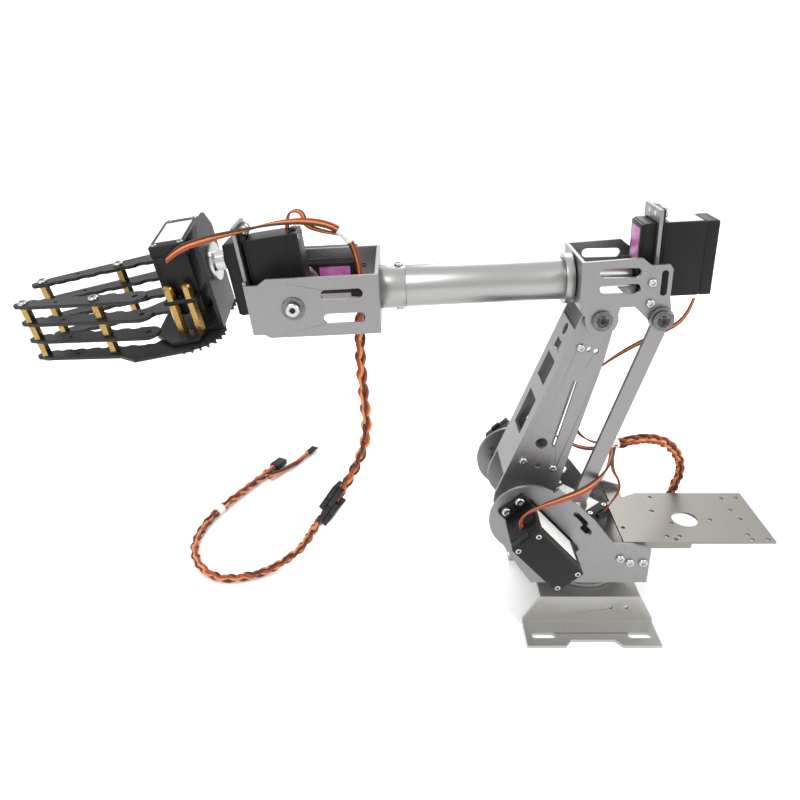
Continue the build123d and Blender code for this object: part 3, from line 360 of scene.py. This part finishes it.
def finish_mesh(name, bm, looks, matrix, sharp=35):
    """Turns a mesh built in millimetres into a piece in the row frame."""
    bm.transform(Matrix.Scale(MM, 4) @ matrix)
    bmesh.ops.recalc_face_normals(bm, faces=bm.faces)
    mesh = bpy.data.meshes.new(name)
    bm.to_mesh(mesh)
    bm.free()
    for look in looks:
        mesh.materials.append(look)
    mesh.polygons.foreach_set("use_smooth", [True] * len(mesh.polygons))
    mesh.set_sharp_from_angle(angle=radians(sharp))
    piece = bpy.data.objects.new(name, mesh)
    bpy.context.scene.collection.objects.link(piece)
    return piece


# --- servos -----------------------------------------------------------------------

def cap_screw(bm, x, y, z, flip):
    """A small cover screw: bright ring round a hexagon socket, whose recess is a black disc of painted
    shade.
    """
    lathe(bm, SCREW_RING, (x, y, z), 3, 24, flip)
    lathe(bm, SCREW_SOCKET_SHADE, (x, y, z), 4, 6, flip)


def servo_label(bm, where):
    """A blank label, slightly proud of the face that it is stuck on."""
    boxes = {
        "bottom": ((-4.0, -7.4, CASE_LOW - LABEL_PROUD), (24.5, 7.4, CASE_LOW + LABEL_SUNK)),
        "side": ((-6.0, CASE_Y - LABEL_SUNK, -23.0), (26.0, CASE_Y + LABEL_PROUD, -5.0)),
        "far_side": ((-6.0, -CASE_Y - LABEL_PROUD, -23.0), (26.0, LABEL_SUNK - CASE_Y, -5.0)),
        "end": ((CASE_X[1] - LABEL_SUNK, -8.0, -23.0), (CASE_X[1] + LABEL_PROUD, 8.0, -5.0)),
    }
    if where:
        rounded_box(bm, *boxes[where], LABEL_EDGE, 1)


def servo_case(bm):
    """The three parts of the case, with a recessed seam below and above the middle one."""
    low_x, high_x = CASE_X
    inner_y = CASE_Y - SEAM_DEPTH
    step_y = CASE_Y - TOP_STEP
    rounded_box(bm, (low_x, -CASE_Y, CASE_LOW), (high_x, CASE_Y, COVER_TOP - SEAM), 0.9)
    rounded_box(bm, (low_x + SEAM_DEPTH, -inner_y, COVER_TOP - 1), (high_x - SEAM_DEPTH, inner_y, 1.5), 0.5)
    rounded_box(bm, (low_x, -CASE_Y, COVER_TOP), (high_x, CASE_Y, -EAR_THICK - SEAM), 0.8)
    rounded_box(bm, (low_x, -CASE_Y, -0.1), (high_x, CASE_Y, CASE_HIGH - TOP_RIM), 0.8)
    rounded_box(bm, (low_x + TOP_STEP, -step_y, 6.0), (high_x - TOP_STEP, step_y, CASE_HIGH), 0.7)


def servo_ears(bm):
    """The mounting ears, with a rib under each."""
    low_x, high_x = CASE_X
    rounded_box(bm, (EAR_X[0], -EAR_Y, -EAR_THICK), (EAR_X[1], EAR_Y, -0.02), 0.8)
    for x in (low_x - 2.0, high_x + 2.0):
        rounded_box(bm, (x - 2.4, -0.7, -EAR_THICK - 1.4), (x + 2.4, 0.7, -EAR_THICK + 0.3), 0.3)


def make_servo(name, node, body, matrix, label=None, badge=False):
    """One servo: three-part case with seams, ribbed ears, cover screws, lead exit and labels."""
    bm = bmesh.new()
    low_x, high_x = CASE_X
    servo_case(bm)
    servo_ears(bm)
    lathe(bm, SERVO_SHAFT)
    rounded_box(bm, (low_x - 1.6, -3.4, CASE_LOW + 1.2), (low_x + 1.0, 3.4, CASE_LOW + 4.6), 0.6, 4)
    for x in (low_x + SCREW_INSET, high_x - SCREW_INSET):
        for y in (-SCREW_Y, SCREW_Y):
            cap_screw(bm, x, y, CASE_LOW, True)
    servo_label(bm, label)
    if badge:
        low, high = (9.5, -7.0, CASE_HIGH - LABEL_SUNK), (27.5, 7.0, CASE_HIGH + LABEL_PROUD)
        rounded_box(bm, low, high, LABEL_EDGE, 2)
    looks = [LOOKS["servo_plastic"], LABEL, BADGE, LOOKS["steel"], LOOKS["connector_plastic"]]
    piece = finish_mesh(name, bm, looks, matrix)
    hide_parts(node)
    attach(piece, body)


def make_servos():
    """All seven servos, in the places that they have in the CAD."""
    tilt = (cos(radians(SERVO_TILT)), 0, sin(radians(SERVO_TILT)))
    yaw_way = (cos(radians(YAW_LONG)), sin(radians(YAW_LONG)), 0)
    x, z = SHOULDER
    yaw = place(ROW, (0, 0, FLOOR_TOP), yaw_way, (0, 0, -1))
    make_servo("servo_yaw", "yaw_servo", "turret", yaw, "bottom")
    elbow = place(ROW, (x, -TURRET_Y, z), tilt, (0, 1, 0))
    make_servo("servo_elbow", "elbow_servo", "turret", elbow, "far_side")
    shoulder = place(ROW, (x, TURRET_Y, z), tilt, (0, -1, 0))
    make_servo("servo_shoulder", "shoulder_servo", "turret", shoulder)
    roll = place(FOREARM, (ROLL_MOUNT, 0, AXIS_Z), (0, 0, 1), (-1, 0, 0))
    make_servo("servo_roll", "roll_servo", "elbow", roll, "end", True)
    wrist = place(FOREARM, (WRIST_X, WRIST_Y, AXIS_Z), (1, 0, 0), (0, -1, 0))
    make_servo("servo_wrist", "wrist_servo", "forearm", wrist, "side", True)
    hand = place(WRIST, (HAND_MOUNT, 0, ROLL_AXIS), (0, 0, -1), (-1, 0, 0))
    make_servo("servo_hand", "hand_roll_servo", "wrist", hand)
    grip = place(HAND, (GEAR_X, GEAR_R, GRIP_MOUNT), (0, -1, 0), (0, 0, -1))
    make_servo("servo_gripper", "gripper_servo", "hand", grip, "bottom")


# --- small fittings ------------------------------------------------------------------

def make_gripper_caps():
    """Golden domed caps over the ears of the gripper servo."""
    middle = GEAR_R - CASE_MIDDLE
    seat = GRIP_MOUNT + EAR_THICK + 6.5
    bm = bmesh.new()
    for x in (GEAR_X - EAR_HOLE_Y, GEAR_X + EAR_HOLE_Y):
        for y in (middle - EAR_HOLE_X, middle + EAR_HOLE_X):
            lathe(bm, GRIPPER_CAP, (x, y, seat), 0, 24)
    piece = finish_mesh("gripper_caps", bm, [LOOKS["brass"]], HAND)
    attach(piece, "hand")


def make_wrist_bolt():
    """The hexagon-socket bolt in the wrist's near bearing."""
    seat = place(WRIST, (0, -WRIST_Y - 3.0, 0), (1, 0, 0), (0, -1, 0))
    bm = bmesh.new()
    lathe(bm, WRIST_BOLT)
    # The socket recess is a black hexagon disc: painted shade.
    lathe(bm, WRIST_SOCKET_SHADE, look=1, sides=6)
    piece = finish_mesh("wrist_bolt", bm, [LOOKS["steel"], LOOKS["connector_plastic"]], seat)
    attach(piece, "wrist")


def pivot_bolt(name, base, centre, way, body):
    """A dark bearing ring with a black hexagon-socket bolt in it, on one side of a pivot; the socket recess
    is a still darker disc of painted shade.
    """
    seat = place(base, centre, (1, 0, 0), (0, way, 0))
    bm = bmesh.new()
    lathe(bm, PIVOT_RING, look=0, sides=40)
    lathe(bm, PIVOT_BOLT, look=1)
    lathe(bm, PIVOT_SOCKET_SHADE, look=2, sides=6)
    looks = [LOOKS["bearing_steel"], BOLT_BLACK, LOOKS["connector_plastic"]]
    piece = finish_mesh(name, bm, looks, seat)
    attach(piece, body)


def make_pivot_bolts():
    pivot_bolt("elbow_bolt_near", FOREARM, (0, -ELBOW_SEAT, 0), -1, "elbow")
    pivot_bolt("elbow_bolt_far", FOREARM, (0, ELBOW_SEAT, 0), 1, "elbow")
    pivot_bolt("rod_bolt_top", FOREARM, (ROCKER, -ROD_SEAT, 0), -1, "elbow")


# --- cords -------------------------------------------------------------------------------

def centreline(points):
    """The smooth line of a route, from a spline whose control points are the route's points."""
    curve = bpy.data.curves.new("route", "CURVE")
    curve.dimensions, curve.resolution_u = "3D", 12
    spline = curve.splines.new("NURBS")
    spline.points.add(len(points) - 1)
    for spot, point in zip(spline.points, points):
        spot.co = (*point, 1)
    spline.order_u = 3
    spline.use_endpoint_u = True
    holder = bpy.data.objects.new("route", curve)
    bpy.context.scene.collection.objects.link(holder)
    mesh = bpy.data.meshes.new_from_object(holder)
    line = [vert.co.copy() for vert in mesh.vertices]
    bpy.data.objects.remove(holder)
    bpy.data.meshes.remove(mesh)
    bpy.data.curves.remove(curve)
    return spaced(line, STRAND_STEP)


def spaced(line, step):
    """The same line with evenly spaced points."""
    lengths = [0.0]
    for a, b in zip(line, line[1:]):
        lengths.append(lengths[-1] + (b - a).length)
    count = max(int(lengths[-1] / step), 2)
    found, i = [], 0
    for k in range(count + 1):
        want = lengths[-1] * k / count
        while i < len(line) - 2 and lengths[i + 1] < want:
            i += 1
        run = lengths[i + 1] - lengths[i]
        found.append(line[i].lerp(line[i + 1], (want - lengths[i]) / run if run else 0.0))
    return found


def line_frames(line):
    """Point and two cross directions at each step, carried along without twisting."""
    ways = [(line[min(i + 1, len(line) - 1)] - line[max(i - 1, 0)]).normalized() for i in range(len(line))]
    side = ways[0].orthogonal().normalized()
    found = []
    for point, way in zip(line, ways):
        side = (side - way * side.dot(way)).normalized()
        found.append((point, side, way.cross(side)))
    return found


def ring(bm, spot, side, up, radius, sides):
    """The corners of one round section across a line."""
    corners = [2 * pi * k / sides for k in range(sides)]
    return [bm.verts.new(spot + (side * cos(a) + up * sin(a)) * radius) for a in corners]


def strand(bm, frames, offsets, radius, look, sides=8):
    """One round wire, held at its own offsets from the line."""
    rings = []
    for (point, side, up), (x, y) in zip(frames, offsets):
        rings.append(ring(bm, point + side * x + up * y, side, up, radius, sides))
    skin(bm, rings, look)


def finish_wires(name, bm):
    piece = finish_mesh(name, bm, WIRES, ROW, 60)
    return piece


def twisted(name, frames, diameter, pitch):
    """Three coloured wires wound about each other."""
    share = sin(pi / 3)
    radius = diameter / 2 * share / (1 + share)
    reach = diameter / 2 - radius
    bm = bmesh.new()
    for i in range(3):
        turns = [2 * pi * (i / 3 + k * STRAND_STEP / pitch) for k in range(len(frames))]
        strand(bm, frames, [(reach * cos(a), reach * sin(a)) for a in turns], radius, i)
    return finish_wires(name, bm)


def ribbon(name, frames, start, width):
    """A flat lead: three wires side by side that turn over slowly; start keeps a split lead in step."""
    bm = bmesh.new()
    turns = [2 * pi * (start + k) * STRAND_STEP / RIBBON_PITCH for k in range(len(frames))]
    for i in range(3):
        reach = (i - 1) * width / 3
        strand(bm, frames, [(reach * cos(a), reach * sin(a)) for a in turns], width / 5.8, (1, 0, 2)[i])
    return finish_wires(name, bm)


def plait(name, frames, diameter, pitch):
    """Three leads of three wires each, plaited together."""
    lead = diameter * PLAIT_LEAD
    wire = lead / 2
    sway, lift = diameter * PLAIT_SWAY, diameter * PLAIT_LIFT
    bm = bmesh.new()
    for i in range(3):
        phases = [2 * pi * (i / 3 + k * STRAND_STEP / pitch) for k in range(len(frames))]
        for j in range(3):
            offsets = []
            for a in phases:
                turn_here = a * PLAIT_TWIST + 2 * pi * j / 3
                x, y = sway * sin(a), lift * sin(2 * a)
                offsets.append((x + (lead - wire) * cos(turn_here), y + (lead - wire) * sin(turn_here)))
            strand(bm, frames, offsets, wire, j)
    return finish_wires(name, bm)


def wrap(name, frames, radius):
    """White tape round a lead, its turns showing as low ridges."""
    bm = bmesh.new()
    rings = []
    for i, (point, side, up) in enumerate(frames):
        rings.append(ring(bm, point, side, up, radius + TAPE_RIDGE * (i % 3), 24))
    skin(bm, rings)
    return finish_mesh(name, bm, [TAPE], ROW, 25)


def nearest(line, point):
    """The index of the line's point closest to the given one."""
    return min(range(len(line)), key=lambda i: (line[i] - Vector(point)).length)


def make_free_cords():
    """The harness that hangs to the table, its branch, and what is on their ends."""
    exit_spot = FOREARM @ Vector(CLIP_LOW)
    line = centreline([tuple(exit_spot)] + HARNESS)
    frames = line_frames(line)
    harness = plait("harness_bundle", frames, HARNESS_D, HARNESS_PITCH)
    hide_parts("free_harness")
    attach(harness, "forearm")
    plug = make_plug(line)
    connector = make_connector(line)
    at = nearest(line, HARNESS_TAPE)
    taped = frames[at - HARNESS_TAPE_HALF:at + HARNESS_TAPE_HALF + 1]
    tape = wrap("harness_tape", taped, HARNESS_D / 2)
    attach(tape, "forearm")
    side_line = centreline(BRANCH)
    branch = twisted("harness_branch", line_frames(side_line), BRANCH_D, BRANCH_PITCH)
    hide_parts("branch_lead")
    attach(branch, "forearm")


def make_plug(line):
    """The black three-way plug on the harness, with ribs and three contact openings."""
    way = (line[-1] - line[-2]).normalized()
    seat = place(ROW, tuple(line[-1]), (way.y, -way.x, 0), tuple(way))
    bm = bmesh.new()
    rounded_box(bm, (-4.2, -2.5, 0), (4.2, 2.5, 14.0), 0.5)
    for z in (2.0, 3.6, 5.2):
        rounded_box(bm, (-4.35, -2.6, z), (4.35, 2.6, z + 0.7), 0.15)
    for x in (-2.54, 0.0, 2.54):
        rounded_box(bm, (x - 0.7, -0.8, 13.6), (x + 0.7, 0.8, 14.1), 0.1, 1)
    piece = finish_mesh("harness_end_plug", bm, [LOOKS["connector_plastic"], LOOKS["steel"]], seat)
    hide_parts("harness_plug")
    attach(piece, "forearm")
    return piece


def make_connector(line):
    """Three pairs of black connectors, bunched round the hanging harness."""
    at = nearest(line, (Vector(HARNESS[3]) + Vector(HARNESS[5])) / 2)
    way = (line[at + 1] - line[at - 1]).normalized()
    seat = place(ROW, tuple(line[at]), (way.y, -way.x, 0), tuple(way))
    bm = bmesh.new()
    for row, half, z in CONNECTOR_ROWS:
        low_y, high_y = ROW_PITCH * row - HALF_THICK, ROW_PITCH * row + HALF_THICK
        rounded_box(bm, (-HALF_WIDE, low_y, z - half), (HALF_WIDE, high_y, z - JOINT_GAP), 0.5)
        rounded_box(bm, (-HALF_WIDE, low_y, z + JOINT_GAP), (HALF_WIDE, high_y, z + half), 0.5)
        rounded_box(bm, (-3.9, low_y + 0.3, z - WAIST_HALF), (3.9, high_y - 0.3, z + WAIST_HALF), 0.3)
    piece = finish_mesh("harness_connectors", bm, [LOOKS["connector_plastic"]], seat)
    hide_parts("inline_connector")
    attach(piece, "forearm")
    return piece


def single_lead(name, points, width):
    """One servo's own lead, which bends across the joint between two bodies."""
    piece = ribbon(name, line_frames(centreline(points)), 0, width)
    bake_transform(piece)


def make_front_leads():
    """The hand's leads, over the wrist to the clip, with their tape."""
    line = centreline(FRONT + [tuple(FOREARM @ Vector(CLIP_HIGH))])
    frames = line_frames(line)
    cut, taped = nearest(line, FRONT[3]), nearest(line, FRONT[6])
    hand_part = ribbon("front_lead_hand", frames[:cut + 1], 0, LEAD_D)
    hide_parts("front_leads")
    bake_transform(hand_part)
    wrist_part = ribbon("front_lead_wrist", frames[cut:], cut, LEAD_D)
    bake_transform(wrist_part)
    tape = wrap("front_tape", frames[taped - LEAD_TAPE_HALF:taped + LEAD_TAPE_HALF + 1], LEAD_D / 2 + 0.25)
    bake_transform(tape)
    single_lead("hand_servo_lead", HAND_LEAD, THIN_LEAD)


def make_rear_leads():
    """The roll servo's lead down the arm, the turret servos' leads, and their bundle to the tray."""
    line = centreline(REAR)
    frames = line_frames(line)
    cut, taped = nearest(line, REAR[5]), nearest(line, REAR[7])
    top = ribbon("rear_lead_elbow", frames[:cut + 1], 0, THIN_LEAD)
    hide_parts("rear_leads")
    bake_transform(top)
    middle = ribbon("rear_lead_arm", frames[cut:taped + 1], cut, THIN_LEAD)
    bundle = plait("rear_lead_tray", frames[taped:], TRAY_BUNDLE_D, TRAY_PITCH)
    tape = wrap("rear_tape", frames[taped - LEAD_TAPE_HALF:taped + LEAD_TAPE_HALF], TRAY_BUNDLE_D / 2 - 0.5)
    for piece in (middle, bundle, tape):
        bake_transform(piece)
    for name, points, width in SERVO_LEADS:
        single_lead(name, points, width)


def make_floor():
    """A flat pale floor, wide enough to meet the pale room at the horizon."""
    mesh = bpy.data.meshes.new("floor")
    reach = 30.0
    corners = [(-reach, -reach, 0), (reach, -reach, 0), (reach, reach, 0), (-reach, reach, 0)]
    mesh.from_pydata(corners, [], [(0, 1, 2, 3)])
    mesh.materials.append(FLOOR)
    floor = bpy.data.objects.new("floor", mesh)
    bpy.context.scene.collection.objects.link(floor)


make_camera()
make_free_cords()
make_front_leads()
make_rear_leads()
dress_cad_nodes()
make_servos()
make_gripper_caps()
make_wrist_bolt()
make_pivot_bolts()
make_floor()
make_light()
set_colours()
